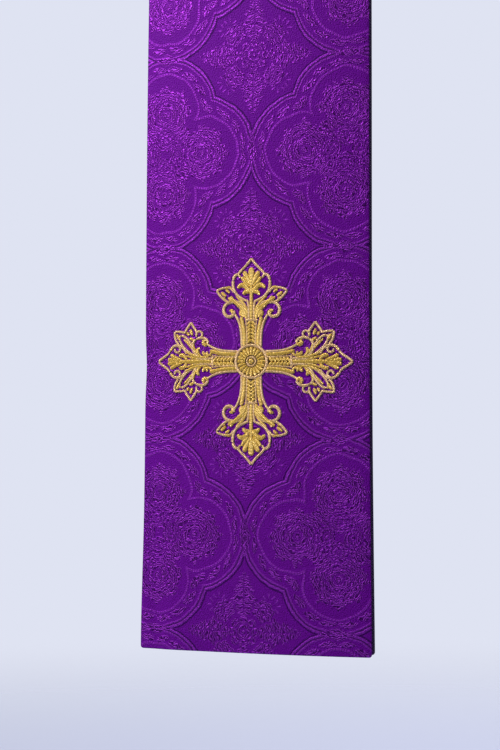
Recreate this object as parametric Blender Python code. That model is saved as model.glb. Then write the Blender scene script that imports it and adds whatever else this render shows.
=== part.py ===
"""A clerical stole as it is worn: a long lined band of brocade that lies round the back of the neck and hangs
in front in two panels, which widen to a plain hem and carry an embroidered cross low down.

Metres, +Z up, the wearer facing -Y. The origin is the middle of the nape seam, on the side that rests on the
neck. The wearer's left half is worked out at +X, and the right half is its mirror image.
"""
from collections import namedtuple

import bmesh
import bpy
import numpy as np

# thicknesses, from the wearer outwards
LINING_THICK = 0.0010
GAP = 0.0003
FACE_THICK = 0.0012
CROSS_THICK = 0.0010

# how the lining's edges lie beside the face's
LINING_SHOWS_AT_NECK = 0.0004
LINING_SHOWS_AT_HEM = 0.0016
LINING_SET_BACK = 0.0005
LINING_RISE = 0.0015

# the embroidered cross
CROSS_ABOVE_HEM = 0.171
MEDALLION_RADIUS = 0.0108
MEDALLION_SIDES = 24

STRIPS_ACROSS = 6
STRIPS_ACROSS_ARM = 4
LEAST_BEND = 1e-6  # 1/m, in place of none where the band is flat across
SHARP_ANGLE = np.radians(40.0)

# Sections of the left half, from the nape seam over the shoulder and down to the hem. Each has the middle of
# the band, the direction across it away from the neck, its width, its outward bend across the width (one over
# the radius, 1/m) and the number of steps to the next section.
Section = namedtuple("Section", "x y z out_x out_y out_z width bend steps")
SECTIONS = [
    Section(0.000, 0.000, 0.000, 0.00, 0.45, -0.89, 0.103, 0.0, 3),
    Section(0.035, -0.004, 0.010, 0.25, 0.45, -0.86, 0.100, 0.0, 3),
    Section(0.062, -0.014, 0.022, 0.62, 0.33, -0.71, 0.099, 0.5, 5),
    Section(0.110, -0.062, 0.045, 0.92, 0.00, -0.38, 0.101, 1.5, 5),
    Section(0.111, -0.118, 0.026, 0.97, 0.10, -0.20, 0.104, 2.5, 4),
    Section(0.109, -0.160, -0.030, 0.98, 0.16, -0.08, 0.109, 3.0, 3),
    Section(0.108, -0.186, -0.100, 0.97, 0.22, -0.04, 0.114, 3.0, 3),
    Section(0.109, -0.203, -0.200, 0.95, 0.28, -0.02, 0.119, 2.8, 3),
    Section(0.112, -0.210, -0.330, 0.94, 0.32, -0.01, 0.125, 2.7, 3),
    Section(0.117, -0.214, -0.500, 0.94, 0.34, 0.00, 0.133, 2.7, 4),
    Section(0.120, -0.219, -0.750, 0.94, 0.34, 0.00, 0.139, 2.8, 4),
    Section(0.121, -0.226, -1.000, 0.94, 0.34, 0.00, 0.141, 2.8, 3),
    Section(0.121, -0.230, -1.120, 0.94, 0.34, 0.00, 0.143, 2.8, 0),
]

# Outline of an arm of the cross: how far from the cross's middle, and half the width there. The upright arms
# spread early into their scrolls, and the side arms have wider leaves further out.
Reach = namedtuple("Reach", "distance half_width")
UPRIGHT_ARM = [
    Reach(0.0111, 0.0060),
    Reach(0.0240, 0.0082),
    Reach(0.0270, 0.0165),
    Reach(0.0325, 0.0160),
    Reach(0.0380, 0.0140),
    Reach(0.0430, 0.0200),
    Reach(0.0480, 0.0125),
    Reach(0.0540, 0.0070),
    Reach(0.0600, 0.0008),
]
SIDE_ARM = [
    Reach(0.0111, 0.0060),
    Reach(0.0240, 0.0082),
    Reach(0.0265, 0.0130),
    Reach(0.0330, 0.0150),
    Reach(0.0390, 0.0235),
    Reach(0.0440, 0.0160),
    Reach(0.0495, 0.0185),
    Reach(0.0530, 0.0090),
    Reach(0.0600, 0.0008),
]
Arm = namedtuple("Arm", "name outline down out")
ARMS = [
    Arm("top", UPRIGHT_ARM, -1, 0),
    Arm("bottom", UPRIGHT_ARM, 1, 0),
    Arm("inner", SIDE_ARM, 0, -1),
    Arm("outer", SIDE_ARM, 0, 1),
]

SIDES = {"right": -1.0, "left": 1.0}

table = np.array(SECTIONS, dtype=float)
chords = np.linalg.norm(np.diff(table[:, 0:3], axis=0), axis=1)
knots = np.concatenate(([0.0], np.cumsum(chords)))
BAND_LENGTH = knots[-1]


def smooth(where):
    """The table's columns and how fast they change, at distances along the band: a cubic through the rows."""
    steps = np.diff(knots)[:, None]
    slopes = np.diff(table, axis=0) / steps
    inner = (slopes[:-1] * steps[1:] + slopes[1:] * steps[:-1]) / (steps[:-1] + steps[1:])
    tangents = np.vstack((slopes[:1], inner, slopes[-1:]))
    row = np.clip(np.searchsorted(knots, where, side="right") - 1, 0, len(knots) - 2)
    size = steps[row]
    t = (where - knots[row])[:, None] / size
    start, end = table[row], table[row + 1]
    leave, arrive = tangents[row] * size, tangents[row + 1] * size
    rise = end - start
    bow = 3.0 * rise - 2.0 * leave - arrive
    twist = leave + arrive - 2.0 * rise
    values = start + t * (leave + t * (bow + t * twist))
    rates = (leave + t * (2.0 * bow + 3.0 * t * twist)) / size
    return values, rates


def unit(vectors):
    return vectors / np.linalg.norm(vectors, axis=1, keepdims=True)


def on_band(along, across, height):
    """Points of the left half: a distance along the band, a distance across it from its middle, positive
    away from the neck, and a height off the side that rests on the wearer."""
    values, rates = smooth(along)
    middle = values[:, 0:3]
    outward = unit(values[:, 3:6])
    normal = unit(np.cross(rates[:, 0:3], outward))
    normal[along <= 0.0, 0] = 0.0  # at the nape both halves face straight back
    normal = unit(normal)
    bend = np.maximum(values[:, 7], LEAST_BEND)
    angle = across * bend
    sideways = np.sin(angle) / bend
    sag = (1.0 - np.cos(angle)) / bend
    lean = unit(outward * np.sin(angle)[:, None] + normal * np.cos(angle)[:, None])
    return middle + outward * sideways[:, None] - normal * sag[:, None] + lean * height


def rows_along():
    """Distances along the band at which it is divided, close together where it turns over the shoulder."""
    found = []
    for section, start, end in zip(SECTIONS, knots[:-1], knots[1:]):
        found.append(np.linspace(start, end, section.steps, endpoint=False))
    return np.concatenate(found + [[BAND_LENGTH]])


def slab(along, across, low, high, side):
    """Vertices and triangles of a closed wall over a grid of places on the band, between two heights."""
    rows, columns = along.shape
    layers = [on_band(along.ravel(), across.ravel(), height) for height in (low, high)]
    vertices = np.vstack(layers) * (side, 1.0, 1.0)
    number = np.arange(rows * columns).reshape(rows, columns)
    under, over = number, number + rows * columns
    quads = []
    for layer in (under, over[:, ::-1]):
        corners = (layer[:-1, :-1], layer[1:, :-1], layer[1:, 1:], layer[:-1, 1:])
        quads.append(np.stack(corners, axis=-1).reshape(-1, 4))
    rim_under = np.concatenate((under[0, :-1], under[:-1, -1], under[-1, :0:-1], under[:0:-1, 0]))
    rim_over = rim_under + rows * columns
    quads.append(np.stack((rim_under, np.roll(rim_under, -1), np.roll(rim_over, -1), rim_over), axis=-1))
    quads = np.vstack(quads)
    triangles = np.vstack((quads[:, (0, 1, 2)], quads[:, (0, 2, 3)]))
    return vertices, triangles


def add_piece(name, vertices, faces, material):
    """One named object with its material, its faces turned outwards and its soft bends shaded smooth."""
    mesh = bpy.data.meshes.new(name)
    mesh.from_pydata(vertices.tolist(), [], faces.tolist())
    turned = bmesh.new()
    turned.from_mesh(mesh)
    bmesh.ops.recalc_face_normals(turned, faces=turned.faces)
    turned.to_mesh(mesh)
    turned.free()
    mesh.materials.append(material)
    mesh.shade_smooth()
    mesh.set_sharp_from_angle(angle=SHARP_ANGLE)
    piece = bpy.data.objects.new(name, mesh)
    bpy.context.scene.collection.objects.link(piece)
    return piece


def finish(name, colour, roughness, metallic):
    material = bpy.data.materials.new(name)
    material.use_nodes = True
    shader = material.node_tree.nodes["Principled BSDF"]
    shader.inputs["Base Color"].default_value = (*colour, 1.0)
    shader.inputs["Roughness"].default_value = roughness
    shader.inputs["Metallic"].default_value = metallic
    return material


def face(side_name, material):
    """The brocade half, over the lining, with its seam end just clear of the other half."""
    along = rows_along()
    half = smooth(along)[0][:, 6] / 2.0
    share = np.linspace(-1.0, 1.0, STRIPS_ACROSS + 1)
    across = half[:, None] * share
    along = np.broadcast_to(along[:, None], across.shape)
    low = LINING_THICK + GAP
    vertices, faces = slab(along, across, low, low + FACE_THICK, SIDES[side_name])
    add_piece(f"{side_name}_face", clear_of_seam(vertices), faces, material)


def lining(side_name, material):
    """The lining half: its inner edge rolls out past the face, its outer edge and hem are set back."""
    along = rows_along()
    along[-1] -= LINING_RISE
    half = smooth(along)[0][:, 6] / 2.0
    shows = LINING_SHOWS_AT_NECK + (LINING_SHOWS_AT_HEM - LINING_SHOWS_AT_NECK) * along / BAND_LENGTH
    share = np.linspace(0.0, 1.0, STRIPS_ACROSS + 1)
    inner, outer = -half - shows, half - LINING_SET_BACK
    across = inner[:, None] * (1.0 - share) + outer[:, None] * share
    along = np.broadcast_to(along[:, None], across.shape)
    vertices, faces = slab(along, across, 0.0, LINING_THICK, SIDES[side_name])
    add_piece(f"{side_name}_lining", clear_of_seam(vertices), faces, material)


def clear_of_seam(vertices):
    """Keeps each half off the seam's plane by half a gap."""
    moved = vertices.copy()
    at_seam = np.abs(moved[:, 0]) < GAP
    sign = 1.0 if moved[:, 0].sum() > 0.0 else -1.0
    moved[at_seam, 0] = sign * GAP / 2.0
    return moved


def cross_arm(side_name, arm, material):
    """One arm, a thin plate of its outline that lies a gap above the face and bends with it."""
    reach = np.array(arm.outline)
    share = np.linspace(-1.0, 1.0, STRIPS_ACROSS_ARM + 1)
    far = np.broadcast_to(reach[:, :1], (len(reach), len(share)))
    wide = reach[:, 1:] * share
    centre = BAND_LENGTH - CROSS_ABOVE_HEM
    along = centre + (far * arm.down if arm.down else wide)
    across = far * arm.out if arm.out else wide
    low = LINING_THICK + GAP + FACE_THICK + GAP
    vertices, faces = slab(along, across, low, low + CROSS_THICK, SIDES[side_name])
    add_piece(f"{side_name}_cross_{arm.name}", vertices, faces, material)


def cross_medallion(side_name, material):
    """The round middle of the cross, a disc that lies on the face."""
    turn = np.linspace(0.0, 2.0 * np.pi, MEDALLION_SIDES, endpoint=False)
    along = BAND_LENGTH - CROSS_ABOVE_HEM + MEDALLION_RADIUS * np.cos(turn)
    across = MEDALLION_RADIUS * np.sin(turn)
    low = LINING_THICK + GAP + FACE_THICK + GAP
    rims = [on_band(along, across, height) for height in (low, low + CROSS_THICK)]
    middles = [rim.mean(axis=0, keepdims=True) for rim in rims]
    vertices = np.vstack((*rims, *middles)) * (SIDES[side_name], 1.0, 1.0)
    under = np.arange(MEDALLION_SIDES)
    over = under + MEDALLION_SIDES
    next_under, next_over = np.roll(under, -1), np.roll(over, -1)
    hub_under = np.full_like(under, 2 * MEDALLION_SIDES)
    faces = np.vstack((
        np.stack((under, next_under, hub_under), axis=-1),
        np.stack((next_over, over, hub_under + 1), axis=-1),
        np.stack((under, over, next_over), axis=-1),
        np.stack((under, next_over, next_under), axis=-1),
    ))
    add_piece(f"{side_name}_cross_medallion", vertices, faces, material)


for old in list(bpy.data.objects):
    bpy.data.objects.remove(old, do_unlink=True)

brocade = finish("purple_brocade", (0.105, 0.012, 0.270), 0.45, 0.0)
dark_lining = finish("aubergine_lining", (0.028, 0.011, 0.050), 0.60, 0.0)
gold_thread = finish("gold_thread", (0.610, 0.350, 0.050), 0.42, 0.3)

for side_name in SIDES:
    face(side_name, brocade)
    lining(side_name, dark_lining)
    cross_medallion(side_name, gold_thread)
    for arm in ARMS:
        cross_arm(side_name, arm, gold_thread)
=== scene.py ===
"""A clerical stole of purple figured brocade, worn: the band lies round the back of the neck and both
panels hang in front, each with a gold embroidered cross above its hem.
"""
from collections import namedtuple

import bpy
import numpy as np
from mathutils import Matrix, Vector


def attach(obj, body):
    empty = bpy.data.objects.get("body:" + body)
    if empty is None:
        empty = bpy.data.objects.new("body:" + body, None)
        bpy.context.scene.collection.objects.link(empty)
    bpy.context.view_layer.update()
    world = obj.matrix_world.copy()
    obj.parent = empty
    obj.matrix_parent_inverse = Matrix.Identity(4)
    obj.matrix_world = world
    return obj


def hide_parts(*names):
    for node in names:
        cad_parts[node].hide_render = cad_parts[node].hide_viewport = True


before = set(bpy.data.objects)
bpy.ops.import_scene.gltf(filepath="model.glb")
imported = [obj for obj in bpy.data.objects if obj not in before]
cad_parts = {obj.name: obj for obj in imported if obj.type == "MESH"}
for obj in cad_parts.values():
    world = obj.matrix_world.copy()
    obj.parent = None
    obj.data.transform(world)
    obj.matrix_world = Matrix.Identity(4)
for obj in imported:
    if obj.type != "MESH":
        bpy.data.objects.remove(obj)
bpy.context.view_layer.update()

# ---------------------------------------------------------------------------------------------------------
# The faces of the band: two long tapering halves of figured brocade, silk-like satin with a self-coloured
# woven figure. They meet in a mitred seam at the nape, and their edges are folded under and pressed.
# ---------------------------------------------------------------------------------------------------------

# the band's form, the same as the solids': the left half, from the nape seam to the hem
Section = namedtuple("Section", "x y z out_x out_y out_z width bend")
SECTIONS = [
    Section(0.000, 0.000, 0.000, 0.00, 0.45, -0.89, 0.103, 0.0),
    Section(0.035, -0.004, 0.010, 0.25, 0.45, -0.86, 0.100, 0.0),
    Section(0.062, -0.014, 0.022, 0.62, 0.33, -0.71, 0.099, 0.5),
    Section(0.110, -0.062, 0.045, 0.92, 0.00, -0.38, 0.101, 1.5),
    Section(0.111, -0.118, 0.026, 0.97, 0.10, -0.20, 0.104, 2.5),
    Section(0.109, -0.160, -0.030, 0.98, 0.16, -0.08, 0.109, 3.0),
    Section(0.108, -0.186, -0.100, 0.97, 0.22, -0.04, 0.114, 3.0),
    Section(0.109, -0.203, -0.200, 0.95, 0.28, -0.02, 0.119, 2.8),
    Section(0.112, -0.210, -0.330, 0.94, 0.32, -0.01, 0.125, 2.7),
    Section(0.117, -0.214, -0.500, 0.94, 0.34, 0.00, 0.133, 2.7),
    Section(0.120, -0.219, -0.750, 0.94, 0.34, 0.00, 0.139, 2.8),
    Section(0.121, -0.226, -1.000, 0.94, 0.34, 0.00, 0.141, 2.8),
    Section(0.121, -0.230, -1.120, 0.94, 0.34, 0.00, 0.143, 2.8),
]
PLACE, OUTWARD, WIDTH, BEND = slice(0, 3), slice(3, 6), 6, 7  # the table's columns
LEAST_BEND = 1e-6  # 1/m, in place of none where the band is flat across
SIDES = {"right": -1.0, "left": 1.0}

# thicknesses, from the wearer outwards, and the form of the folded edges and hem, with angles in degrees
LINING_THICK = 0.0010
GAP = 0.0003
FACE_THICK = 0.0012
FACE_LOW = LINING_THICK + GAP
FACE_TOP = FACE_LOW + FACE_THICK
EDGE_FOLD_ANGLES = (60.0, 30.0, 0.0, -30.0, -60.0)
HEM_FOLD_ANGLES = (0.0, 40.0, 70.0, 88.0)
HEM_FOLD_REACH = 0.9995  # how much of the hem's half-round is drawn, so that it stays a little open
HEM_CORNER = 0.0018
HEM_CORNER_STEPS = (1.0, 0.7, 0.45)

band_table = np.array(SECTIONS)
band_steps = np.linalg.norm(np.diff(band_table[:, PLACE], axis=0), axis=1)
band_knots = np.concatenate(([0.0], np.cumsum(band_steps)))
BAND_LENGTH = band_knots[-1]

# Soft troughs and ridges of the hanging cloth, in millimetres: where across the panel (away from the neck
# is positive) and above the hem, how far turned from upright in degrees, half its length, half its width
# and its height.
Crease = namedtuple("Crease", "across above turn long wide high")
CREASES = {
    "right": [
        Crease(58, 205, 4, 24, 5, -1.0),
        Crease(70, 168, 0, 14, 7, -1.3),
        Crease(62, 4, -5, 60, 28, 3.0),
        Crease(61, 16, -4, 38, 5, -1.2),
        Crease(-40, 130, 6, 60, 22, -1.4),
    ],
    "left": [
        Crease(60, 150, -5, 30, 7, -1.0),
        Crease(52, 60, 7, 44, 12, 1.3),
        Crease(-50, 240, 4, 60, 12, -0.9),
    ],
}


def smooth(where):
    """The band table's columns and their rates at distances along it: a cubic curve through the rows whose
    slope at each row is the mean of the slopes to its neighbours, each weighted by the other's distance."""
    steps = np.diff(band_knots)[:, None]
    slopes = np.diff(band_table, axis=0) / steps
    inner = (slopes[:-1] * steps[1:] + slopes[1:] * steps[:-1]) / (steps[:-1] + steps[1:])
    tangents = np.vstack((slopes[:1], inner, slopes[-1:]))
    row = np.clip(np.searchsorted(band_knots, where, side="right") - 1, 0, len(band_knots) - 2)
    size = steps[row]
    t = (where - band_knots[row])[:, None] / size
    start, end = band_table[row], band_table[row + 1]
    leave, arrive = tangents[row] * size, tangents[row + 1] * size
    bow = 3.0 * (end - start) - 2.0 * leave - arrive
    twist = leave + arrive - 2.0 * (end - start)
    values = start + t * (leave + t * (bow + t * twist))
    rates = (leave + t * (2.0 * bow + 3.0 * t * twist)) / size
    return values, rates


def unit(vectors):
    """The vectors at length one."""
    return vectors / np.linalg.norm(vectors, axis=-1, keepdims=True)


def crease_height(side_name, above, across):
    """The sum of the side's creases, each a bell-shaped swelling, long one way and narrow the other."""
    total = np.zeros_like(above)
    for crease in CREASES[side_name]:
        turn = np.radians(crease.turn)
        right, up = across * 1000.0 - crease.across, above * 1000.0 - crease.above
        lengthwise = (up * np.cos(turn) + right * np.sin(turn)) / crease.long
        sideways = (right * np.cos(turn) - up * np.sin(turn)) / crease.wide
        total += crease.high / 1000.0 * np.exp(-(lengthwise**2) - sideways**2)
    return total


def on_band(side_name, along, across, height):
    """Points on a half of the band: the middle line's point, moved across on an arc of the section's bend
    and then off the wearer by the height, with the creases added. At the nape seam the two halves meet in
    one upright plane, and the right half is the left one mirrored."""
    shape = along.shape
    flat_along = along.ravel()
    flat_across = np.broadcast_to(across, shape).ravel()
    flat_height = np.broadcast_to(height, shape).ravel()
    values, rates = smooth(flat_along)
    outward = unit(values[:, OUTWARD])
    normal = unit(np.cross(rates[:, PLACE], outward))
    normal[flat_along <= 0.0, 0] = 0.0
    normal = unit(normal)
    bend = np.maximum(values[:, BEND], LEAST_BEND)
    angle = flat_across * bend
    sideways = (np.sin(angle) / bend)[:, None]
    sag = ((1.0 - np.cos(angle)) / bend)[:, None]
    lean = unit(outward * np.sin(angle)[:, None] + normal * np.cos(angle)[:, None])
    lift = flat_height + crease_height(side_name, BAND_LENGTH - flat_along, flat_across)
    places = values[:, PLACE] + outward * sideways - normal * sag + lean * lift[:, None]
    places *= (SIDES[side_name], 1.0, 1.0)
    return places.reshape(*shape, 3)


def half_width(along):
    """Half the face's width at distances along the band."""
    return (smooth(along.ravel())[0][:, WIDTH] / 2.0).reshape(along.shape)


def rows_down_the_band(step, round_over):
    """Distances along the band: even steps, then closer ones where the hem's fold rounds over."""
    even = np.arange(0.0, BAND_LENGTH - HEM_CORNER, step)
    corner = BAND_LENGTH - HEM_CORNER * np.array(HEM_CORNER_STEPS)
    fold = BAND_LENGTH - round_over * (1.0 - np.sin(np.radians(HEM_FOLD_ANGLES)))
    return np.unique(np.concatenate((even, corner, fold)))


def cloth_shell(side_name, low, high, inner_edge, outer_edge, hem_rise, columns, step):
    """A closed cloth wall. Round its section run the outer side, a half-round folded edge, the side on the
    wearer and the other folded edge. Down the band this closed loop follows the two edges' lines. At the
    hem it thins as a half-round fold does, and the corners are a little rounded. Returns points, faces and
    each point's place on the flat cloth."""
    radius = (high - low) / 2.0
    along = rows_down_the_band(step, radius)
    into_fold = np.clip((along - (BAND_LENGTH - radius)) / radius, 0.0, HEM_FOLD_REACH)
    thin = np.sqrt(1.0 - into_fold**2)
    into_corner = np.clip((along - (BAND_LENGTH - HEM_CORNER)) / HEM_CORNER, 0.0, 1.0)
    narrow = HEM_CORNER * (1.0 - np.sqrt(1.0 - into_corner**2))
    along = np.where(along > BAND_LENGTH / 2.0, along - hem_rise, along)
    inner = inner_edge(along) + radius + narrow
    outer = outer_edge(along) - radius - narrow
    share = np.linspace(0.0, 1.0, columns)
    turn = np.radians(EDGE_FOLD_ANGLES)
    loop_share = np.concatenate((share, np.ones(len(turn)), share[::-1], np.zeros(len(turn))))
    loop_out = np.concatenate((np.zeros(columns), np.cos(turn), np.zeros(columns), -np.cos(turn)))
    loop_up = np.concatenate((np.ones(columns), np.sin(turn), -np.ones(columns), -np.sin(turn)))
    across = inner[:, None] * (1.0 - loop_share) + outer[:, None] * loop_share + radius * loop_out
    height = (low + high) / 2.0 + radius * thin[:, None] * loop_up
    along = np.broadcast_to(along[:, None], across.shape)
    points = on_band(side_name, along, across, height)
    rows, around = across.shape
    number = np.arange(rows * around).reshape(rows, around)
    beside = np.roll(number, -1, axis=1)
    tube = np.stack((number[:-1], beside[:-1], beside[1:], number[1:]), axis=-1).reshape(-1, 4)
    fold_middle = around - (len(turn) + 1) // 2
    half_way = np.arange(around // 2 + 1)
    front = (fold_middle + half_way) % around
    back = (fold_middle - half_way) % around
    cap = np.stack((front[:-1], front[1:], back[1:], back[:-1]), axis=-1)
    faces = np.vstack((tube, cap[:, ::-1], cap + (rows - 1) * around))
    if SIDES[side_name] > 0.0:
        faces = faces[:, ::-1]
    flat = np.stack((across, BAND_LENGTH - along), axis=-1).reshape(-1, 2)
    return points.reshape(-1, 3), faces.tolist(), flat


def cloth_piece(name, points, faces, flat, material):
    """A mesh object from whole arrays, with the flat cloth's places as its UV map, in metres. A face that
    names a point twice is one corner smaller, as at the ends of a shell's caps."""
    faces = [tuple(dict.fromkeys(face)) for face in faces]
    faces = [face for face in faces if len(face) > 2]
    mesh = bpy.data.meshes.new(name)
    mesh.from_pydata(points.tolist(), [], faces)
    corner = np.empty(len(mesh.loops), np.int32)
    mesh.loops.foreach_get("vertex_index", corner)
    mesh.uv_layers.new(name="cloth").uv.foreach_set("vector", flat[corner].astype(np.float32).ravel())
    mesh.materials.append(material)
    mesh.shade_smooth()
    piece = bpy.data.objects.new(name, mesh)
    bpy.context.scene.collection.objects.link(piece)
    return piece


def from_hex(code):
    """An sRGB hex colour as linear red, green, blue and full alpha."""
    shown = np.array([int(code[i : i + 2], 16) for i in (1, 3, 5)]) / 255.0
    linear = np.where(shown <= 0.04045, shown / 12.92, ((shown + 0.055) / 1.055) ** 2.4)
    return (*linear.tolist(), 1.0)


def add_node(tree, kind, settings=(), links=()):
    """Adds one node: settings are pairs of a property or socket and its value, links are pairs of an input
    socket and the output socket that feeds it."""
    node = tree.nodes.new(kind)
    for key, value in settings:
        if isinstance(key, str) and hasattr(node, key):
            setattr(node, key, value)
        else:
            node.inputs[key].default_value = value
    for key, source in links:
        tree.links.new(node.inputs[key], source)
    return node


def new_finish(name):
    """An empty material and its node tree."""
    material = bpy.data.materials.new(name)
    material.use_nodes = True
    material.node_tree.nodes.clear()
    return material, material.node_tree


GROUND_HUE = "#58097a"
FIGURE_HUE = "#7e2b9e"
# the darker hue painted as shade between the figure's threads and beside its outlines
GAP_SHADE_HUE = "#2c0544"
GLOSS_HUE = "#b468e0"
FIGURE_SHINE = 0.92
RELIEF = 0.0005

# unevenness of the loom, the drawing and the thread: swells to a millimetre, and how far the value spreads
Unevenness = namedtuple("Unevenness", "name scale spread")
UNEVENNESS = [
    Unevenness("coarse", 0.10, 8.0),
    Unevenness("fine", 0.40, 8.0),
    Unevenness("grain", 1.3, 4.0),
]
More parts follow.
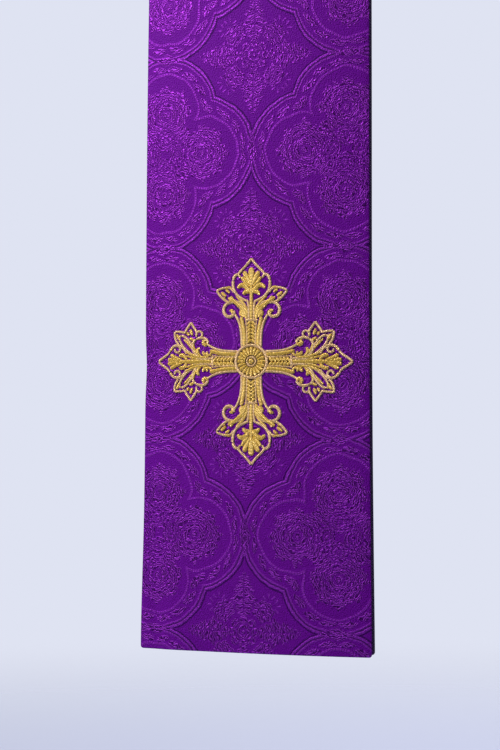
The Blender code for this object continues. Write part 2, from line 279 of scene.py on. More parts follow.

# The weave's chart. Each row is one step of working out the woven figure at a place on the cloth, in
# millimetres across from the panel's middle line and above the hem: the value's name, the operation, and
# what it works on. RAMP reads a value off a line through places:heights, and STEP rises from 0 to 1.
# The repeat is a square of 113 mm, folded on its two axes and its diagonal, so one eighth is charted.
# everything together: crisp lines, soft shapes filled with threads that follow them, and painted shade
# between the threads
# the double outline, left out where two quatrefoils join, with painted shade in lines beside it
WEAVE_CHART = """
grain_drift     MULTIPLY_ADD  above -0.0168 4.96
straight        SUBTRACT      across grain_drift
beside          PINGPONG      straight 56.5
risen           SUBTRACT      above 69
up              PINGPONG      risen 56.5
from_middle     SUBTRACT      56.5 beside
down            SUBTRACT      56.5 up
drawn_across    MULTIPLY_ADD  coarse 0.35 from_middle
drawn_up        MULTIPLY_ADD  coarse -0.35 up
far             MAXIMUM       drawn_across drawn_up
near            MINIMUM       drawn_across drawn_up
field_far       MAXIMUM       beside down
field_near      MINIMUM       beside down

# a lobe of the quatrefoil: distance and angle about its centre, and distance about the inner ring's centre
lobe_x          SUBTRACT      far 24.5
lobe_xx         MULTIPLY      lobe_x lobe_x
lobe_sum        MULTIPLY_ADD  near near lobe_xx
lobe            SQRT          lobe_sum
lobe_turn       ARCTAN2       near lobe_x
ring_x          SUBTRACT      far 26.5
ring_xx         MULTIPLY      ring_x ring_x
ring_sum        MULTIPLY_ADD  near near ring_xx
ring_away       SQRT          ring_sum

# the double outline, left out where two quatrefoils join
slant           MULTIPLY_ADD  near -0.33 far
join            STEP          slant 52.6 53.6
parted          SUBTRACT      1 join
lobe_drawn      MULTIPLY_ADD  fine 0.06 lobe
outline         RAMP          lobe_drawn 30.3:0 30.7:.6 31.3:.6 31.8:.1 32.3:.1 32.7:.75 33.5:.75 34:0
outlines        MULTIPLY      outline parted
groove          RAMP          lobe_drawn 31.4:0 31.7:1 32.4:1 32.6:0 33.8:0 34.1:1 34.5:1 35:0
grooves         MULTIPLY      groove parted

# the beaded inner ring
beads_round     MULTIPLY      lobe_turn 14
bead            PINGPONG      beads_round 0.5
bead_tone       RAMP          bead 0:0.45 0.15:0.55 0.3:1 0.5:1
ring_line       RAMP          ring_away 20.3:0 20.7:1 21.7:1 22.1:0
ring_part       STEP          far 14 15
ring_beads      MULTIPLY      ring_line bead_tone
ring_faint      MULTIPLY      ring_beads 0.7
ring            MULTIPLY      ring_faint ring_part

# leaves that follow one another round the band
leaves_round    MULTIPLY      lobe_turn 2.4
along_leaf      FRACT         leaves_round
leaf_width      RAMP          along_leaf 0:0.2 0.12:1.7 0.35:2.5 0.7:1.9 0.9:0.9 1:0.2
leaf_slant      MULTIPLY_ADD  along_leaf 3.0 24.8
band_middle     SUBTRACT      lobe leaf_slant
off_middle      ABSOLUTE      band_middle
inside_leaf     SUBTRACT      leaf_width off_middle
leaf_tone       STEP          inside_leaf -0.2 0.3
outside_ring    STEP          ring_away 22.5 23.0
leaf            MULTIPLY      leaf_tone outside_ring

# the rosette in each lobe
petals_8        MULTIPLY      lobe_turn 8
petal_wave      COSINE        petals_8
petals_25       MULTIPLY      lobe_turn 25
nick_wave       COSINE        petals_25
petal_reach     MULTIPLY_ADD  petal_wave 1.3 15.9
nicked_reach    MULTIPLY_ADD  nick_wave 0.9 petal_reach
rosette_reach   MULTIPLY_ADD  fine 0.45 nicked_reach
rosette_share   DIVIDE        lobe rosette_reach
whole_rosette   RAMP          rosette_share 0:1 .10:1 .13:.1 .20:.1 .23:1 .42:1 .45:.1 .49:.1 .53:1 \
                              .70:1 .72:.3 .745:.3 .77:1 .98:1 1.015:0

# four small roses round the quatrefoil's middle, over the rosettes, and a leaf on each diagonal
rose_x          SUBTRACT      far 8.2
rose_xx         MULTIPLY      rose_x rose_x
rose_sum        MULTIPLY_ADD  near near rose_xx
rose_away       SQRT          rose_sum
small_rose      RAMP          rose_away 0:1 1.0:1 1.4:.1 2.1:.1 2.5:1 3.6:1 3.9:.2 4.4:.2 4.7:1 5.6:1 5.9:0
beyond_rose     STEP          rose_away 6.3 6.7
rosette         MULTIPLY      whole_rosette beyond_rose
diagonal_sum    ADD           far near
diagonal_off    SUBTRACT      far near
diagonal_long   MULTIPLY_ADD  diagonal_sum 0.111 -2.44
diagonal_wide   MULTIPLY      diagonal_off 0.24
diagonal_ll     MULTIPLY      diagonal_long diagonal_long
diagonal_away   MULTIPLY_ADD  diagonal_wide diagonal_wide diagonal_ll
diagonal_leaf   RAMP          diagonal_away 0:0.1 0.03:0.1 0.08:1 0.3:1 0.36:0.2 0.44:0.2 0.5:1 0.9:1 1.0:0

# the field between quatrefoils: a ring of eight beads round an eye
field_xx        MULTIPLY      field_far field_far
field_sum       MULTIPLY_ADD  field_near field_near field_xx
field_away      SQRT          field_sum
field_turn      ARCTAN2       field_near field_far
bead_turn       PINGPONG      field_turn 0.3927
bead_cosine     COSINE        bead_turn
toward_bead     MULTIPLY      field_away bead_cosine
bead_part       MULTIPLY_ADD  toward_bead -14.4 field_sum
bead_sum        ADD           bead_part 51.84
bead_away       SQRT          bead_sum
field_bead      RAMP          bead_away 0.8:0 1.2:1 2.3:1 2.7:0
field_eye       RAMP          field_away 0:1 1.0:1 1.4:0 2.2:0 2.6:1 3.9:1 4.3:0

# a leafy spray on each arm of the field, with its veins
spray_width     RAMP          field_far 9:-3 9.8:3 12:4.6 14:4.8 17.5:8.6 20:7.9 22:5.2 \
                              25:6 28:3.6 31:3.2 34.5:.8 36:-3
nick_turn       MULTIPLY      field_far 2.4
nicks           SINE          nick_turn
spray_edge      MULTIPLY_ADD  nicks 0.8 spray_width
inside_spray    SUBTRACT      spray_edge field_near
spray_tone      STEP          inside_spray -0.2 0.3
middle_vein     RAMP          field_near 0:0.3 0.3:0.35 0.6:1
vein_slant      MULTIPLY_ADD  field_near 0.9 field_far
vein_turn       MULTIPLY      vein_slant 1.05
vein_wave       COSINE        vein_turn
side_veins      RAMP          vein_wave -1:0.35 -0.85:0.45 -0.6:1
veined          MULTIPLY      spray_tone middle_vein
veined_spray    MULTIPLY      veined side_veins

# round flowers on the field's diagonals, and small fans beyond them
flower_x        SUBTRACT      field_far 12.6
flower_y        SUBTRACT      field_near 11.8
flower_xx       MULTIPLY      flower_x flower_x
flower_sum      MULTIPLY_ADD  flower_y flower_y flower_xx
flower_away     SQRT          flower_sum
flower_turn     ARCTAN2       flower_y flower_x
petals_7        MULTIPLY      flower_turn 7
scallop         COSINE        petals_7
scalloped       MULTIPLY_ADD  scallop -0.6 flower_away
beyond_flower   STEP          scalloped 6.6 7.4
spray           MULTIPLY      veined_spray beyond_flower
flower          RAMP          scalloped 0:1 1:1 1.4:.2 2:.2 2.4:1 3.6:1 3.8:.3 4.2:.3 4.5:1 5.8:1 6.2:0
fan_x           SUBTRACT      field_far 18.0
fan_y           SUBTRACT      field_near 15.4
fan_xx          MULTIPLY      fan_x fan_x
fan_sum         MULTIPLY_ADD  fan_y fan_y fan_xx
fan_away        SQRT          fan_sum
fan_turn        ARCTAN2       fan_y fan_x
strokes_turn    MULTIPLY      fan_turn 7
strokes         COSINE        strokes_turn
fan_band        RAMP          fan_away 1.6:-1 2.2:1 4.8:1 5.3:-1
fan_front       RAMP          fan_x 0.4:-1 1.2:1
fan_part        MINIMUM       strokes fan_band
fan_whole       MINIMUM       fan_part fan_front
fan_drawn       STEP          fan_whole 0.35 0.9
fan             MULTIPLY      fan_drawn 0.6

# everything together: crisp lines, and soft shapes filled with threads that follow them
crisp_lines     MAXIMUM       outlines ring
crisp           MAXIMUM       crisp_lines fan
roses           MAXIMUM       rosette small_rose
leaves          MAXIMUM       diagonal_leaf leaf
eyes            MAXIMUM       field_bead field_eye
field_leaves    MAXIMUM       spray flower
lobe_shapes     MAXIMUM       roses leaves
field_shapes    MAXIMUM       eyes field_leaves
joined_shapes   MAXIMUM       field_shapes join
soft            MAXIMUM       lobe_shapes joined_shapes
figure          MAXIMUM       soft crisp
in_lobe         LESS_THAN     lobe 34
in_field        SUBTRACT      1 in_lobe
lobe_part       MULTIPLY      lobe in_lobe
rounds          MULTIPLY_ADD  field_away in_field lobe_part
wander          MULTIPLY      fine 1.3
thread_turn     MULTIPLY_ADD  rounds 4.3 wander
thread_wave     SINE          thread_turn
thread          STEP          thread_wave -0.6 0.6
figure_thread   MULTIPLY      thread soft
thread_share    MULTIPLY_ADD  thread 0.86 0.14
soft_weft       MULTIPLY      soft thread_share
weft            MAXIMUM       soft_weft crisp
gaps            SUBTRACT      1 thread
soft_gaps       MULTIPLY      gaps soft
deep            MAXIMUM       soft_gaps grooves
shade           MULTIPLY_ADD  grain 0.20 deep
raised_thread   MULTIPLY      figure_thread 0.34
raised_lines    MULTIPLY_ADD  crisp 0.62 raised_thread
raised_figure   MULTIPLY_ADD  soft 0.10 raised_lines
raised          MULTIPLY_ADD  grain 0.14 raised_figure
"""


def cloth_places(tree):
    """The place on the flat cloth in millimetres, as a socket, and as a chart's first values: across from
    the panel's middle line and above the hem."""
    place = add_node(tree, "ShaderNodeUVMap", [("uv_map", "cloth")])
    in_mm = add_node(
        tree,
        "ShaderNodeVectorMath",
        [("operation", "SCALE"), ("Scale", 1000.0)],
        [("Vector", place.outputs[0])],
    )
    axes = add_node(tree, "ShaderNodeSeparateXYZ", [], [("Vector", in_mm.outputs[0])])
    return in_mm.outputs[0], {"across": axes.outputs[0], "above": axes.outputs[1]}


def chart_values(tree, chart, values):
    """Works a chart out in nodes, one for each row, or two for a RAMP. Starts from the values given."""
    for line in chart.splitlines():
        words = line.split("#")[0].split()
        if not words:
            continue
        name, operation, inputs = words[0], words[1], words[2:]
        if operation == "RAMP":
            stops = [tuple(float(number) for number in stop.split(":")) for stop in inputs[1:]]
            first, last = stops[0][0], stops[-1][0]
            lows = min(height for _, height in stops)
            highs = max(height for _, height in stops)
            spread = add_node(
                tree,
                "ShaderNodeMapRange",
                [("From Min", first), ("From Max", last)],
                [("Value", values[inputs[0]])],
            )
            ramp = add_node(tree, "ShaderNodeValToRGB", [], [("Fac", spread.outputs["Result"])])
            marks = ramp.color_ramp.elements
            while len(marks) < len(stops):
                marks.new(1.0)
            for mark, (place, height) in zip(marks, stops):
                mark.position = (place - first) / (last - first)
                mark.color = (*[(height - lows) / (highs - lows)] * 3, 1.0)
            back = add_node(
                tree,
                "ShaderNodeMapRange",
                [("To Min", lows), ("To Max", highs)],
                [("Value", ramp.outputs["Color"])],
            )
            values[name] = back.outputs["Result"]
        elif operation == "STEP":
            step = add_node(
                tree,
                "ShaderNodeMapRange",
                [("From Min", float(inputs[1])), ("From Max", float(inputs[2]))],
                [("Value", values[inputs[0]])],
            )
            values[name] = step.outputs["Result"]
        else:
            settings = [(i, float(word)) for i, word in enumerate(inputs) if word not in values]
            links = [(i, values[word]) for i, word in enumerate(inputs) if word in values]
            node = add_node(tree, "ShaderNodeMath", [("operation", operation)] + settings, links)
            values[name] = node.outputs[0]
    return values


def brocade_finish():
    """Figured silk-like brocade, woven: a smooth satin ground, with a figure in looser weft threads that is
    duller from in front and flashes a brighter violet where it catches the lamp. The gaps between the
    figure's threads and lines beside its outlines are darkened as painted shade, and the grain varies the
    ground's tone at random."""
    material, tree = new_finish("figured_brocade_satin_ground")
    in_mm, values = cloth_places(tree)
    for name, scale, spread in UNEVENNESS:
        noise = add_node(
            tree,
            "ShaderNodeTexNoise",
            [("noise_dimensions", "2D"), ("Scale", scale), ("Detail", 0.0)],
            [("Vector", in_mm)],
        )
        signed = add_node(
            tree,
            "ShaderNodeMath",
            [("operation", "MULTIPLY_ADD"), (1, spread), (2, -spread / 2.0)],
            [(0, noise.outputs[0])],
        )
        values[name] = signed.outputs[0]
    values = chart_values(tree, WEAVE_CHART, values)

    # painted shade: the ground is mixed towards the darker gap hue between the figure's threads and beside
    # its outlines, and by the grain at random
    shaded_ground = add_node(
        tree,
        "ShaderNodeMix",
        [("data_type", "RGBA"), (6, from_hex(GROUND_HUE)), (7, from_hex(GAP_SHADE_HUE))],
        [(0, values["shade"])],
    )
    hue = add_node(
        tree,
        "ShaderNodeMix",
        [("data_type", "RGBA"), (7, from_hex(FIGURE_HUE))],
        [(0, values["weft"]), (6, shaded_ground.outputs[2])],
    )
    shine = add_node(
        tree,
        "ShaderNodeMapRange",
        [("To Min", 0.0), ("To Max", FIGURE_SHINE)],
        [("Value", values["figure"])],
    )
    relief = add_node(
        tree, "ShaderNodeBump", [("Strength", 1.0), ("Distance", RELIEF)], [("Height", values["raised"])]
    )
    shader = add_node(
        tree,
        "ShaderNodeBsdfPrincipled",
        [("Roughness", 0.56), ("Specular IOR Level", 0.12), ("Specular Tint", from_hex(GLOSS_HUE))],
        [
            ("Base Color", hue.outputs[2]),
            ("Metallic", shine.outputs[0]),
            ("Normal", relief.outputs[0]),
        ],
    )
    add_node(tree, "ShaderNodeOutputMaterial", [], [("Surface", shader.outputs[0])])
    return material


brocade = brocade_finish()
for side_name in SIDES:
    points, faces, flat = cloth_shell(
        side_name,
        low=FACE_LOW,
        high=FACE_TOP,
        inner_edge=lambda along: -half_width(along),
        outer_edge=half_width,
        hem_rise=0.0,
        columns=44,
        step=0.004,
    )
    piece = cloth_piece(f"{side_name}_brocade", points, faces, flat, brocade)
    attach(piece, "root")
    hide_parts(f"{side_name}_face")

# ---------------------------------------------------------------------------------------------------------
# The lining: plain dark cloth, cut as two halves to match and felled to the folded edges. It rolls out a
# little past the face along the inner edge.
# ---------------------------------------------------------------------------------------------------------
LINING_SHOWS_AT_NECK = 0.0004
LINING_SHOWS_AT_HEM = 0.0016
LINING_SET_BACK = 0.0005
LINING_RISE = 0.0015
LINING_HUE = "#33204a"
# the lining's own colour painted darker in the low squares of the weave, a painted shade
LINING_SHADED_HUE = "#231433"

# plain weave, drawn 0.9 mm a thread, which is coarser than it is: warp and weft pass over in turn
PLAIN_WEAVE_CHART = """
warp_turn       MULTIPLY      across 3.5
weft_turn       MULTIPLY      above 3.5
warp            SINE          warp_turn
weft            SINE          weft_turn
crossing        MULTIPLY      warp weft
over            STEP          crossing -0.5 0.5
"""


def lining_finish():
    """Plain-woven lining: dull and dark, with the small squares of threads passing over and under, and the
    low squares painted darker as painted shade.
    """
    material, tree = new_finish("lining_plain_weave")
    _, places = cloth_places(tree)
    values = chart_values(tree, PLAIN_WEAVE_CHART, places)
    hue = add_node(
        tree,
        "ShaderNodeMix",
        [("data_type", "RGBA"), (6, from_hex(LINING_SHADED_HUE)), (7, from_hex(LINING_HUE))],
        [(0, values["over"])],
    )
    relief = add_node(
        tree, "ShaderNodeBump", [("Strength", 0.6), ("Distance", 0.0003)], [("Height", values["crossing"])]
    )
    shader = add_node(
        tree,
        "ShaderNodeBsdfPrincipled",
        [("Roughness", 0.62), ("Specular IOR Level", 0.3)],
        [("Base Color", hue.outputs[2]), ("Normal", relief.outputs[0])],
    )
    add_node(tree, "ShaderNodeOutputMaterial", [], [("Surface", shader.outputs[0])])
    return material


def lining_inner_edge(along):
    """The lining's edge beside the neck, which shows more and more past the face towards the hem."""
    shows = LINING_SHOWS_AT_NECK + (LINING_SHOWS_AT_HEM - LINING_SHOWS_AT_NECK) * along / BAND_LENGTH
    return -half_width(along) - shows


lining = lining_finish()
for side_name in SIDES:
    points, faces, flat = cloth_shell(
        side_name,
        low=0.0,
        high=LINING_THICK,
        inner_edge=lining_inner_edge,
        outer_edge=lambda along: half_width(along) - LINING_SET_BACK,
        hem_rise=LINING_RISE,
        columns=32,
        step=0.006,
    )
    piece = cloth_piece(f"{side_name}_lining_cloth", points, faces, flat, lining)
    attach(piece, "root")
    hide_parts(f"{side_name}_lining")

# ---------------------------------------------------------------------------------------------------------
# The crosses: machine embroidery in gold rayon thread, straight through the face. Satin-stitched cords and
# leaves stand up as rounded ridges: a pale gold outline round yellower fillings, over an underlay whose
# dark gold is painted shade in the gaps between the strokes.
# ---------------------------------------------------------------------------------------------------------
CROSS_ABOVE_HEM = 0.171
DRAWN_MM = 0.000975  # a drawn millimetre as the cloth draws it in, in metres
STITCH_SPREAD = 1.10  # thread spreads a little past the line it is worked to
OUTLINE, FILLING, SHADED_UNDERLAY = 1.0, 0.5, 0.0
OUTLINE_HUE = "#ffcf8e"
FILLING_HUE = "#fbcb52"
# painted shade: the underlay's dark gold, which shows in the gaps between the strokes
UNDERLAY_SHADE_HUE = "#5a360a"

# a ridge of stitches: how deep it starts in the face, how high it is padded, and how finely it is drawn
STITCH_ROOT = -0.00015
UNDERLAY_PADDING = 0.00022
LEAST_PADDING = 0.00038
MOST_PADDING = 0.00095
PADDING_PER_WIDTH = 0.26
RIDGE_FULLNESS = 0.8  # under 1 is fuller than half-round
RIDGE_POINTS = 7
TIP_REACH = 0.999  # how much of a ridge's round end is drawn, so that it stays a little open
STITCH_STEP = 0.00045
LEAST_STEPS = 8
MEASURING_STEPS = 200

# Cords and leaves of an arm, in millimetres from the cross's middle: out along the arm and beside its
# middle line. A Bend is one cubic bend with two handles and its width at both ends and half-way; a Scroll
# is an arc or spiral about a centre, whose turns are shares of a circle. Each is worked on both sides of
# the arm, or once where it is its own mirror image.
Bend = namedtuple(
    "Bend", "thread out beside out_1 beside_1 out_2 beside_2 to_out to_beside wide mid_wide to_wide"
)
Scroll = namedtuple("Scroll", "thread out beside start turns radius to_radius wide mid_wide to_wide")
SHAFT = [
    Bend(SHADED_UNDERLAY, 8.0, 0.0, 13.0, 0.0, 20.0, 0.0, 25.5, 0.0, 11.0, 11.4, 12.2),
    Bend(OUTLINE, 8.6, 6.0, 16.0, 6.0, 22.5, 6.1, 28.6, 10.6, 1.6, 1.6, 1.4),
    Bend(FILLING, 9.4, 4.4, 15.0, 4.3, 20.0, 4.7, 27.0, 6.5, 2.4, 2.5, 2.2),
    Bend(OUTLINE, 9.4, 2.7, 15.0, 2.7, 20.0, 2.9, 24.4, 3.3, 1.0, 1.0, 1.0),
    Bend(OUTLINE, 24.9, -4.2, 25.1, -2.0, 25.1, 2.0, 24.9, 4.2, 1.3, 1.7, 1.3),
]
CHEVRON = Bend(FILLING, 2.4, 0.2, 1.6, 0.7, 0.8, 1.5, 0.0, 2.6, 1.3, 1.9, 1.2)
CHEVRONS = (11.2, 13.4, 15.6, 17.8, 20.0, 22.2)
UPRIGHT_HEAD = [
    # stems that rise from the collar and part to the frame and the side leaves
    Bend(FILLING, 25.4, 0.0, 32.0, 0.0, 38.0, 0.0, 47.5, 0.0, 1.9, 2.2, 2.0),
    Bend(OUTLINE, 25.4, 1.7, 30.0, 1.6, 33.0, 1.3, 37.0, 2.6, 1.4, 1.4, 1.5),
    Bend(FILLING, 25.6, 3.3, 29.5, 3.1, 34.5, 6.5, 38.6, 15.0, 1.9, 2.9, 1.6),
    Bend(FILLING, 28.0, 2.5, 32.5, 2.4, 36.0, 5.4, 39.6, 9.8, 1.2, 1.8, 1.1),
    Bend(FILLING, 33.0, 6.0, 35.2, 8.6, 36.8, 11.6, 37.2, 14.6, 1.2, 1.9, 1.1),
    # the ogee frame, its curled shoulder and the point
    Bend(OUTLINE, 36.4, 2.2, 38.6, 9.6, 43.0, 12.4, 49.0, 11.6, 1.5, 1.7, 1.8),
    Bend(OUTLINE, 49.0, 11.6, 53.4, 10.9, 53.4, 7.4, 50.2, 7.2, 1.8, 1.7, 1.3),
    Bend(OUTLINE, 51.8, 8.6, 54.8, 7.6, 57.2, 3.0, 62.2, 0.0, 1.5, 1.5, 1.5),
    # the palmette inside it
    Bend(FILLING, 46.6, 0.0, 49.5, 0.0, 53.0, 0.0, 56.8, 0.0, 1.7, 3.5, 3.3),
    Bend(FILLING, 46.0, 0.7, 48.6, 1.4, 51.0, 3.4, 54.6, 4.6, 1.3, 2.8, 2.8),
    Bend(FILLING, 45.2, 1.2, 47.0, 2.8, 48.2, 4.8, 51.2, 6.0, 1.2, 2.2, 1.9),
    Bend(FILLING, 41.4, 0.9, 45.0, 2.4, 48.4, 6.6, 43.9, 8.6, 1.6, 2.9, 1.6),
    Bend(FILLING, 41.6, 0.8, 42.6, 3.6, 41.8, 4.6, 39.9, 5.0, 1.4, 2.6, 1.2),
    # the side leaf, with a little flower in it
    Bend(OUTLINE, 41.6, 11.4, 45.0, 12.2, 45.8, 16.4, 42.8, 22.4, 1.4, 1.4, 1.4),
    Bend(OUTLINE, 35.4, 13.0, 36.0, 16.4, 38.4, 19.4, 42.8, 22.4, 1.4, 1.5, 1.4),
    Bend(FILLING, 39.3, 16.0, 40.0, 17.0, 41.0, 18.2, 42.0, 19.6, 1.3, 2.0, 1.2),
    Bend(FILLING, 41.2, 14.0, 42.4, 14.6, 43.0, 15.4, 43.0, 16.6, 1.2, 1.7, 1.2),
    Bend(FILLING, 38.2, 16.4, 38.0, 17.2, 38.2, 17.8, 38.8, 18.4, 1.0, 1.4, 1.0),
    Bend(FILLING, 44.6, 12.8, 45.0, 14.4, 44.8, 15.6, 43.9, 17.4, 1.0, 1.6, 0.9),
    Bend(FILLING, 36.6, 11.0, 37.8, 12.4, 38.6, 13.0, 39.6, 12.6, 1.1, 1.8, 1.0),
    # the scroll under it, a curled leaf and a bud beside the collar
    Bend(OUTLINE, 32.4, 4.0, 35.6, 5.4, 37.2, 9.0, 35.2, 13.0, 1.4, 1.5, 1.4),
    Scroll(OUTLINE, 30.4, 13.4, -0.02, 0.80, 5.4, 2.2, 1.7, 2.0, 1.5),
    Scroll(FILLING, 29.9, 12.8, 0.5, 0.75, 0.9, 0.7, 2.0, 2.2, 2.0),
    Bend(FILLING, 30.4, 3.6, 33.6, 4.6, 34.4, 7.4, 32.6, 8.8, 1.3, 2.2, 1.4),
    Bend(FILLING, 26.6, 4.9, 28.2, 5.0, 29.6, 6.4, 31.6, 6.2, 1.7, 4.3, 1.4),
]
SIDE_HEAD = [
    # stems that rise from the collar and part
    Bend(FILLING, 25.4, 0.0, 32.0, 0.0, 40.0, 0.0, 47.5, 0.0, 2.3, 2.9, 2.0),
    Bend(OUTLINE, 25.4, 1.8, 30.0, 1.5, 35.0, 1.4, 38.6, 1.8, 1.5, 1.7, 1.3),
    Bend(FILLING, 28.0, 2.6, 33.0, 2.2, 38.0, 3.0, 43.8, 6.4, 1.4, 1.9, 1.4),
    Bend(FILLING, 30.0, 1.2, 35.0, 1.0, 39.0, 2.2, 42.8, 3.6, 1.2, 1.6, 1.1),
    Bend(FILLING, 34.0, 4.2, 37.2, 6.0, 38.9, 9.6, 37.6, 13.0, 1.1, 1.7, 1.1),
    # the ogee frame, with a ring in its shoulder and the point
    Bend(OUTLINE, 42.6, 4.6, 44.6, 10.2, 50.6, 12.2, 54.2, 6.6, 1.4, 1.7, 1.4),
    Bend(OUTLINE, 54.2, 6.6, 55.4, 3.6, 58.4, 3.4, 62.2, 0.0, 1.4, 1.5, 1.5),
    Scroll(OUTLINE, 49.0, 7.4, 0.1, 0.95, 2.3, 1.6, 1.1, 1.5, 1.3),
    Bend(FILLING, 50.6, 9.6, 52.2, 9.2, 53.2, 8.0, 53.4, 6.4, 1.0, 1.6, 0.9),
    # the palmette inside it
    Bend(FILLING, 46.8, 0.5, 49.6, 0.6, 52.4, 0.9, 55.8, 1.4, 1.3, 2.5, 2.3),
    Bend(FILLING, 45.6, 0.9, 48.6, 1.6, 51.0, 2.6, 53.8, 4.4, 1.3, 2.3, 2.0),
    Bend(FILLING, 42.4, 1.0, 43.6, 3.8, 46.2, 4.6, 47.8, 3.2, 1.4, 2.6, 1.3),
    # the open pointed loop and the pointed lobe beyond it
    Bend(OUTLINE, 35.4, 3.2, 39.0, 8.6, 41.0, 15.4, 46.2, 15.8, 1.3, 1.5, 1.5),
    Bend(OUTLINE, 46.2, 15.8, 49.6, 15.4, 45.4, 6.6, 35.4, 2.8, 1.5, 1.4, 1.3),
    Bend(OUTLINE, 43.6, 17.2, 46.0, 18.6, 48.6, 18.0, 50.8, 18.4, 1.4, 1.4, 1.4),
    Bend(OUTLINE, 50.8, 18.4, 50.8, 15.4, 50.6, 12.6, 47.8, 10.6, 1.4, 1.5, 1.4),
    Bend(FILLING, 46.8, 12.6, 47.8, 14.2, 48.6, 15.4, 49.4, 16.9, 1.1, 2.0, 1.0),
    Bend(FILLING, 38.4, 7.2, 40.4, 9.8, 42.2, 12.0, 44.6, 13.6, 0.9, 1.5, 0.9),
    # the upright leaf, with a little flower in it, and the small loop at its foot
    Bend(OUTLINE, 36.2, 15.4, 34.6, 18.4, 37.6, 20.2, 39.6, 24.0, 1.4, 1.5, 1.4),
    Bend(OUTLINE, 43.6, 17.0, 43.4, 19.4, 41.4, 20.6, 39.6, 24.0, 1.4, 1.5, 1.4),
    Bend(FILLING, 38.4, 16.0, 39.0, 17.0, 39.6, 18.0, 39.8, 19.8, 1.3, 2.0, 1.3),
    Bend(FILLING, 40.6, 15.8, 41.4, 16.4, 41.8, 17.0, 41.8, 18.0, 1.3, 1.9, 1.3),
    Bend(FILLING, 37.4, 12.6, 38.4, 13.2, 39.4, 14.0, 40.6, 14.2, 1.2, 1.9, 1.2),
    Scroll(OUTLINE, 33.8, 16.4, -0.1, 0.85, 2.2, 1.7, 1.3, 1.4, 1.3),
    # the scroll, a curled leaf on the stem and small curls beside the collar
    Bend(OUTLINE, 33.6, 2.6, 38.2, 4.6, 40.6, 10.8, 36.0, 13.6, 1.4, 1.8, 1.5),
    Bend(OUTLINE, 36.0, 13.6, 32.4, 15.4, 28.0, 14.0, 28.2, 11.2, 1.5, 1.7, 1.7),
    Scroll(FILLING, 30.0, 11.6, 0.5, 0.8, 1.5, 0.8, 2.0, 2.5, 2.2),
    Bend(FILLING, 32.6, 3.2, 35.4, 4.6, 36.0, 7.6, 33.6, 8.0, 1.3, 2.2, 1.6),
    Scroll(FILLING, 27.6, 5.0, 0.4, 0.8, 1.6, 0.9, 1.3, 1.7, 1.4),
    Bend(FILLING, 28.4, 3.8, 30.0, 4.0, 31.6, 4.8, 31.2, 6.4, 1.3, 2.3, 1.3),
]
# the round middle: an eye, a ring, twenty petals, and a cord round them
MEDALLION = [
    Scroll(SHADED_UNDERLAY, 0.0, 0.0, 0.0, 1.0, 5.3, 5.3, 9.6, 9.6, 9.6),
    Scroll(FILLING, 0.0, 0.0, 0.0, 1.0, 0.7, 0.7, 2.1, 2.1, 2.1),
    Scroll(OUTLINE, 0.0, 0.0, 0.0, 1.0, 2.7, 2.7, 1.1, 1.1, 1.1),
    Scroll(OUTLINE, 0.0, 0.0, 0.0, 1.0, 9.8, 9.8, 1.8, 1.8, 1.8),
]
PETAL = Bend(FILLING, 3.6, 0.0, 5.0, 0.0, 7.0, 0.0, 8.9, 0.0, 0.9, 1.8, 2.5)
PETALS = 20

Arm = namedtuple("Arm", "name across above strokes")
ARMS = [
    Arm("top", 0.0, 1.0, SHAFT + UPRIGHT_HEAD),
    Arm("bottom", 0.0, -1.0, SHAFT + UPRIGHT_HEAD),
    Arm("inner", -1.0, 0.0, SHAFT + SIDE_HEAD),
    Arm("outer", 1.0, 0.0, SHAFT + SIDE_HEAD),
]


def moved_out(bend, distance):
    """The same bend further out along the arm."""
    ends_and_handles = ("out", "out_1", "out_2", "to_out")
    return bend._replace(**{field: getattr(bend, field) + distance for field in ends_and_handles})


def lies_on_middle(stroke):
    """Whether a stroke is its own mirror image, along the arm's middle line or straight across it."""
    return isinstance(stroke, Bend) and stroke.beside == -stroke.to_beside


def stroke_line(stroke):
    """The middle line of a stroke, as places out and beside in metres, with its width. A bend is the cubic
    with its two handles, and a scroll turns at an even rate while its radius changes evenly. The width runs
    through its three values on a parabola. Steps are closer at the ends, where the stroke rounds off."""
    t = np.linspace(0.0, 1.0, MEASURING_STEPS)[:, None]

    def place(t):
        if isinstance(stroke, Scroll):
            turn = 2.0 * np.pi * (stroke.start + stroke.turns * t)
            radius = stroke.radius + (stroke.to_radius - stroke.radius) * t
            toward = np.concatenate((np.cos(turn), np.sin(turn)), axis=1)
            return (stroke.out, stroke.beside) + radius * toward
        points = np.reshape(stroke[1:9], (4, 2))
        weights = np.concatenate(((1 - t) ** 3, 3 * t * (1 - t) ** 2, 3 * t**2 * (1 - t), t**3), axis=1)
        return weights @ points

    length = np.sum(np.linalg.norm(np.diff(place(t), axis=0), axis=1)) * DRAWN_MM
    steps = max(LEAST_STEPS, int(length / STITCH_STEP))
    t = ((1.0 - np.cos(np.pi * np.linspace(0.0, 1.0, steps + 1))) / 2.0)[:, None]
    from_start, from_middle, from_end = (1 - t) * (1 - 2 * t), 4 * t * (1 - t), t * (2 * t - 1)
    wide = from_start * stroke.wide + from_middle * stroke.mid_wide + from_end * stroke.to_wide
    return place(t) * DRAWN_MM, wide.ravel() * DRAWN_MM * STITCH_SPREAD


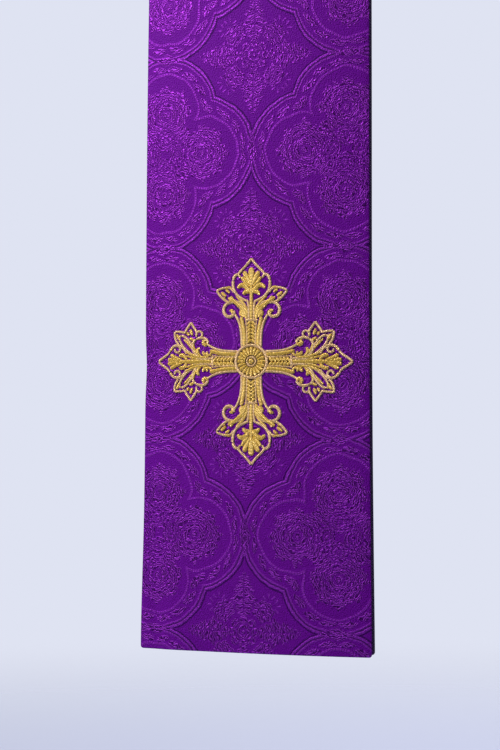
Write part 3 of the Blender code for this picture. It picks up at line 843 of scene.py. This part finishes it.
def satin_stroke(stroke, mirrored):
    """A padded row of satin stitch: a rounded ridge swept along the stroke, with rounded ends. Returns each
    point's place out and beside and its height, the faces, each point's place along and across the
    stitches, and the stroke's thread."""
    line, wide = stroke_line(stroke)
    if mirrored:
        line = line * (1.0, -1.0)
    closed = isinstance(stroke, Scroll) and stroke.turns == 1.0
    ahead = np.gradient(line, axis=0)
    if closed:
        ahead[0] = line[1] - line[-2]
        line, wide, ahead = line[:-1], wide[:-1], ahead[:-1]
    ahead = unit(ahead)
    beside = np.stack((-ahead[:, 1], ahead[:, 0]), axis=1)
    run = np.concatenate(([0.0], np.cumsum(np.linalg.norm(np.diff(line, axis=0), axis=1))))
    to_end = np.minimum(run, run[-1] - run)
    tip = np.clip(1.0 - to_end / (wide / 2.0), 0.0, TIP_REACH)
    round_off = np.ones_like(run) if closed else np.sqrt(1.0 - tip**2)
    turn = np.linspace(0.0, np.pi, RIDGE_POINTS)
    padding = np.minimum(LEAST_PADDING + PADDING_PER_WIDTH * wide, MOST_PADDING)
    if stroke.thread == SHADED_UNDERLAY:
        padding = np.full_like(wide, UNDERLAY_PADDING)
    half = (wide * round_off / 2.0)[:, None]
    places = line[:, None, :] + (beside[:, None, :] * np.cos(turn)[:, None]) * half[:, :, None]
    height = STITCH_ROOT + (padding * round_off)[:, None] * np.sin(turn) ** RIDGE_FULLNESS
    rows, around = height.shape
    number = np.arange(rows * around).reshape(rows, around)
    beyond = np.roll(number, -1, axis=0)
    rings = slice(0, rows if closed else rows - 1)
    tube = np.stack((number, np.roll(number, -1, axis=1), np.roll(beyond, -1, axis=1), beyond), axis=-1)
    tube = tube[rings].reshape(-1, 4).tolist()
    if not closed:
        tube += [number[0, ::-1].tolist(), number[-1].tolist()]
    across = np.cos(turn) * half
    stitches = np.stack((np.broadcast_to(run[:, None], height.shape), across), axis=-1)
    return places.reshape(-1, 2), height.ravel(), tube, stitches.reshape(-1, 2), stroke.thread


def stitched_piece(name, side_name, direction, strokes, material):
    """Many strokes as one mesh. Out and beside are turned to the arm's own direction on the flat cloth,
    and each point is then put on the face where it hangs. A vertex value tells the threads apart."""
    places, heights, faces, stitches, threads = [], [], [], [], []
    count = 0
    for local, height, tube, stitch, thread in strokes:
        places.append(local)
        heights.append(height)
        faces += [[number + count for number in face] for face in tube]
        stitches.append(stitch)
        threads.append(np.full(len(local), thread))
        count += len(local)
    out, beside = np.concatenate(places).T
    across = out * direction[0] - beside * direction[1]
    above = CROSS_ABOVE_HEM + out * direction[1] + beside * direction[0]
    points = on_band(side_name, BAND_LENGTH - above, across, FACE_TOP + np.concatenate(heights))
    if SIDES[side_name] < 0.0:
        faces = [face[::-1] for face in faces]
    piece = cloth_piece(name, points, faces, np.concatenate(stitches), material)
    thread_layer = piece.data.attributes.new("thread", "FLOAT", "POINT")
    thread_layer.data.foreach_set("value", np.concatenate(threads).astype(np.float32))
    return piece


def gold_stitch_finish():
    """Gold rayon embroidery thread laid side by side in satin stitch: a soft metallic lustre, with fine
    ribs across every ridge whose hollows are painted darker as painted shade. The ribs are drawn 0.8 mm
    apart, coarser than thread."""
    material, tree = new_finish("gold_rayon_satin_stitch")
    thread = add_node(tree, "ShaderNodeAttribute", [("attribute_name", "thread")])
    hue = add_node(tree, "ShaderNodeValToRGB", [], [("Fac", thread.outputs["Fac"])])
    marks = hue.color_ramp.elements
    # painted shade: the underlay is painted dark gold for the gaps between the strokes
    marks[0].color = from_hex(UNDERLAY_SHADE_HUE)
    marks[1].color = from_hex(OUTLINE_HUE)
    filling = marks.new(FILLING)
    filling.color = from_hex(FILLING_HUE)
    stitches = add_node(tree, "ShaderNodeUVMap", [("uv_map", "cloth")])
    ribs = add_node(
        tree,
        "ShaderNodeTexWave",
        [("Scale", 370.0), ("Distortion", 1.6), ("Detail", 1.0), ("Detail Scale", 2.0)],
        [("Vector", stitches.outputs[0])],
    )
    # painted shade: the colour is darkened to 40% in the hollows between the ribs
    rib_shade = add_node(
        tree, "ShaderNodeMapRange", [("To Min", 0.40), ("To Max", 1.0)], [("Value", ribs.outputs["Fac"])]
    )
    shaded = add_node(
        tree,
        "ShaderNodeMix",
        [("data_type", "RGBA"), ("blend_type", "MULTIPLY"), (0, 1.0)],
        [(6, hue.outputs[0]), (7, rib_shade.outputs[0])],
    )
    relief = add_node(
        tree, "ShaderNodeBump", [("Strength", 0.8), ("Distance", 0.0005)], [("Height", ribs.outputs["Fac"])]
    )
    shader = add_node(
        tree,
        "ShaderNodeBsdfPrincipled",
        [("Metallic", 0.25), ("Roughness", 0.30), ("Specular IOR Level", 0.9)],
        [("Base Color", shaded.outputs[2]), ("Normal", relief.outputs[0])],
    )
    add_node(tree, "ShaderNodeOutputMaterial", [], [("Surface", shader.outputs[0])])
    return material


gold_stitch = gold_stitch_finish()
chevrons = [moved_out(CHEVRON, distance) for distance in CHEVRONS]
for side_name in SIDES:
    middle = [satin_stroke(stroke, False) for stroke in MEDALLION]
    for turn in np.linspace(0.0, 2.0 * np.pi, PETALS, endpoint=False):
        turned = np.array([[np.cos(turn), np.sin(turn)], [-np.sin(turn), np.cos(turn)]])
        places, *rest = satin_stroke(PETAL, False)
        middle.append((places @ turned, *rest))
    pieces = [("medallion", (1.0, 0.0), middle)]
    for arm in ARMS:
        paired = [stroke for stroke in arm.strokes + chevrons if not lies_on_middle(stroke)]
        worked = [satin_stroke(stroke, False) for stroke in arm.strokes + chevrons]
        worked += [satin_stroke(stroke, True) for stroke in paired]
        pieces.append((arm.name, (arm.across, arm.above), worked))
    for part_name, direction, strokes in pieces:
        name = f"{side_name}_{part_name}_stitching"
        piece = stitched_piece(name, side_name, direction, strokes, gold_stitch)
        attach(piece, "root")
        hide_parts(f"{side_name}_cross_{part_name}")

# ---------------------------------------------------------------------------------------------------------
# The room: a plain pale floor that fades into a plain pale surround, and soft lamps, of which the nearest
# stands on the viewer's left and models the right panel.
# ---------------------------------------------------------------------------------------------------------
HEM_Z = SECTIONS[-1].z
FLOOR_Z = -1.45
FLOOR_REACH = 2.6
FLOOR_FULL_TO = 0.9
FLOOR_HUE = "#c9cfe6"
SURROUND_HUE = "#dfe3f2"
SURROUND_LIGHT = 0.10
OVERHEAD_LIGHT = 1.0
OVERHEAD_SPREAD = 0.5

floor_mesh = bpy.data.meshes.new("floor")
floor_corners = np.array(((-1, -1, 0), (1, -1, 0), (1, 1, 0), (-1, 1, 0))) * FLOOR_REACH + (0, 0, FLOOR_Z)
floor_mesh.from_pydata(floor_corners.tolist(), [], [(0, 1, 2, 3)])
floor_material, floor_tree = new_finish("pale_floor")
floor_place = add_node(floor_tree, "ShaderNodeTexCoord")
floor_flat = add_node(
    floor_tree,
    "ShaderNodeVectorMath",
    [("operation", "MULTIPLY"), (1, (1.0, 1.0, 0.0))],
    [(0, floor_place.outputs["Object"])],
)
floor_away = add_node(
    floor_tree, "ShaderNodeVectorMath", [("operation", "LENGTH")], [(0, floor_flat.outputs[0])]
)
floor_fade = add_node(
    floor_tree,
    "ShaderNodeMapRange",
    [("interpolation_type", "SMOOTHSTEP"), ("From Min", FLOOR_FULL_TO), ("From Max", FLOOR_REACH)],
    [("Value", floor_away.outputs[1])],
)
floor_shader = add_node(
    floor_tree, "ShaderNodeBsdfPrincipled", [("Base Color", from_hex(FLOOR_HUE)), ("Roughness", 0.9)]
)
floor_gone = add_node(floor_tree, "ShaderNodeBsdfTransparent")
floor_mix = add_node(
    floor_tree,
    "ShaderNodeMixShader",
    [],
    [(0, floor_fade.outputs[0]), (1, floor_shader.outputs[0]), (2, floor_gone.outputs[0])],
)
add_node(floor_tree, "ShaderNodeOutputMaterial", [], [("Surface", floor_mix.outputs[0])])
floor_mesh.materials.append(floor_material)
floor = bpy.data.objects.new("floor", floor_mesh)
bpy.context.scene.collection.objects.link(floor)

# the surround is pale to look at, but lights the cloth only dimly, so that the lamps model it
world = bpy.data.worlds.new("pale_surround")
world.use_nodes = True
world.node_tree.nodes.clear()
seen = add_node(world.node_tree, "ShaderNodeLightPath")
surround_strength = add_node(
    world.node_tree,
    "ShaderNodeMapRange",
    [("To Min", SURROUND_LIGHT), ("To Max", 1.0)],
    [("Value", seen.outputs["Is Camera Ray"])],
)
surround = add_node(
    world.node_tree,
    "ShaderNodeBackground",
    [("Color", from_hex(SURROUND_HUE))],
    [("Strength", surround_strength.outputs[0])],
)
add_node(world.node_tree, "ShaderNodeOutputWorld", [], [("Surface", surround.outputs[0])])
bpy.context.scene.world = world
bpy.context.scene.view_settings.view_transform = "Standard"

# each lamp: where it stands, seen from the place on the right panel that it is turned to, its size, its
# power and its tint
RIGHT_HEM_MIDDLE = np.array((-0.121, -0.231, HEM_Z))
TURNED_TO = RIGHT_HEM_MIDDLE + (0.0, 0.0, 0.19)
Lamp = namedtuple("Lamp", "name x y z size watts tint")
LAMPS = [
    Lamp("key", -0.78, -0.28, 0.70, 0.4, 18.5, "#ffffff"),
    Lamp("side", 1.40, -0.30, 1.10, 0.6, 8.0, "#ffffff"),
    Lamp("fill", 0.25, -0.80, 1.50, 0.8, 3.0, "#eef1ff"),
    Lamp("back", 0.60, 2.30, 1.20, 1.6, 25.0, "#f6f4ff"),
]
for lamp in LAMPS:
    light = bpy.data.lights.new(lamp.name, "AREA")
    light.shape = "DISK"
    light.size = lamp.size
    light.energy = lamp.watts
    light.color = from_hex(lamp.tint)[:3]
    lamp_object = bpy.data.objects.new(lamp.name, light)
    lamp_object.location = TURNED_TO + (lamp.x, lamp.y, lamp.z)
    lamp_object.rotation_euler = Vector((-lamp.x, -lamp.y, -lamp.z)).to_track_quat("-Z", "Y").to_euler()
    lamp_object.visible_camera = False
    bpy.context.scene.collection.objects.link(lamp_object)

# light from straight overhead, which falls on the floor and the shoulders and only grazes the panels
overhead = bpy.data.lights.new("overhead", "SUN")
overhead.energy = OVERHEAD_LIGHT
overhead.angle = OVERHEAD_SPREAD
bpy.context.scene.collection.objects.link(bpy.data.objects.new("overhead", overhead))

# ---------------------------------------------------------------------------------------------------------
# The camera stands in front of the right panel and looks level at its cross.
# ---------------------------------------------------------------------------------------------------------
CAMERA_AWAY = 1.28
CAMERA_ABOVE_HEM = 0.163
CAMERA_LEFT = 0.0015
CAMERA_LENS = 105.0
camera_data = bpy.data.cameras.new("camera")
camera_data.lens = CAMERA_LENS
camera = bpy.data.objects.new("camera", camera_data)
camera.location = RIGHT_HEM_MIDDLE + (-CAMERA_LEFT, -CAMERA_AWAY, CAMERA_ABOVE_HEM)
camera.rotation_euler = (np.pi / 2.0, 0.0, 0.0)
bpy.context.scene.collection.objects.link(camera)
bpy.context.scene.camera = camera
